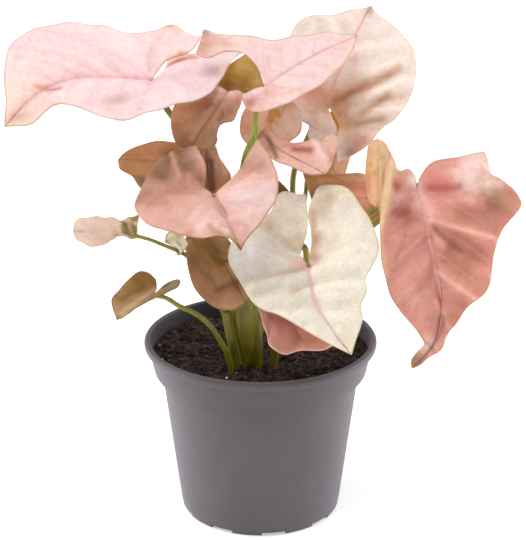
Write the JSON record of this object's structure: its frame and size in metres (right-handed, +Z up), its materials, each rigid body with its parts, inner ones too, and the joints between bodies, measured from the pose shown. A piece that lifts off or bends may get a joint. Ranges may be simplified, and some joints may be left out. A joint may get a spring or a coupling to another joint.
{
  "type": "potted syngonium",
  "caption": "Arrowhead plant with pink, cream and brown leaves on green stalks in a grey plastic nursery pot.",
  "frame": {"origin": "centre of the pot's flat underside", "axes": "+Z up; -Y towards the side the picture was taken from, where the lowest leaves lean; +X to that side's right"},
  "size_m": [0.2467, 0.1444, 0.2572],
  "materials": {
    "pot": "matt, slightly rough",
    "soil": "rough and crumbly",
    "stem": "waxy satin",
    "leaf_pink": "waxy satin",
    "leaf_cream": "waxy satin",
    "leaf_salmon": "waxy satin",
    "leaf_rose": "waxy satin",
    "leaf_brown": "waxy satin",
    "leaf_olive": "waxy satin"
  },
  "bodies": {
    "root": {"pot": "pot", "soil": "soil", "stems_main": "stem", "stems_left": "stem", "stems_front": "stem", "stems_right": "stem", "leaf_far_left": "leaf_pink", "leaf_top_centre": "leaf_pink", "leaf_top_back": "leaf_cream", "leaf_under_back": "leaf_olive", "leaf_centre_pale": "leaf_pink", "leaf_centre_band": "leaf_pink", "leaf_back_olive": "leaf_olive", "leaf_dark_olive": "leaf_olive", "leaf_front_left": "leaf_pink", "leaf_brown_upper": "leaf_brown", "leaf_brown_lower": "leaf_brown", "leaf_left_olive": "leaf_olive", "leaf_small_left": "leaf_cream", "leaf_bract": "leaf_olive", "leaf_low_left": "leaf_olive", "leaf_brown_front": "leaf_brown", "leaf_front_cream": "leaf_cream", "leaf_rose_under": "leaf_rose", "leaf_back_right": "leaf_brown", "leaf_right_peach": "leaf_salmon", "leaf_right_salmon": "leaf_salmon"}
  },
  "joints": []
}
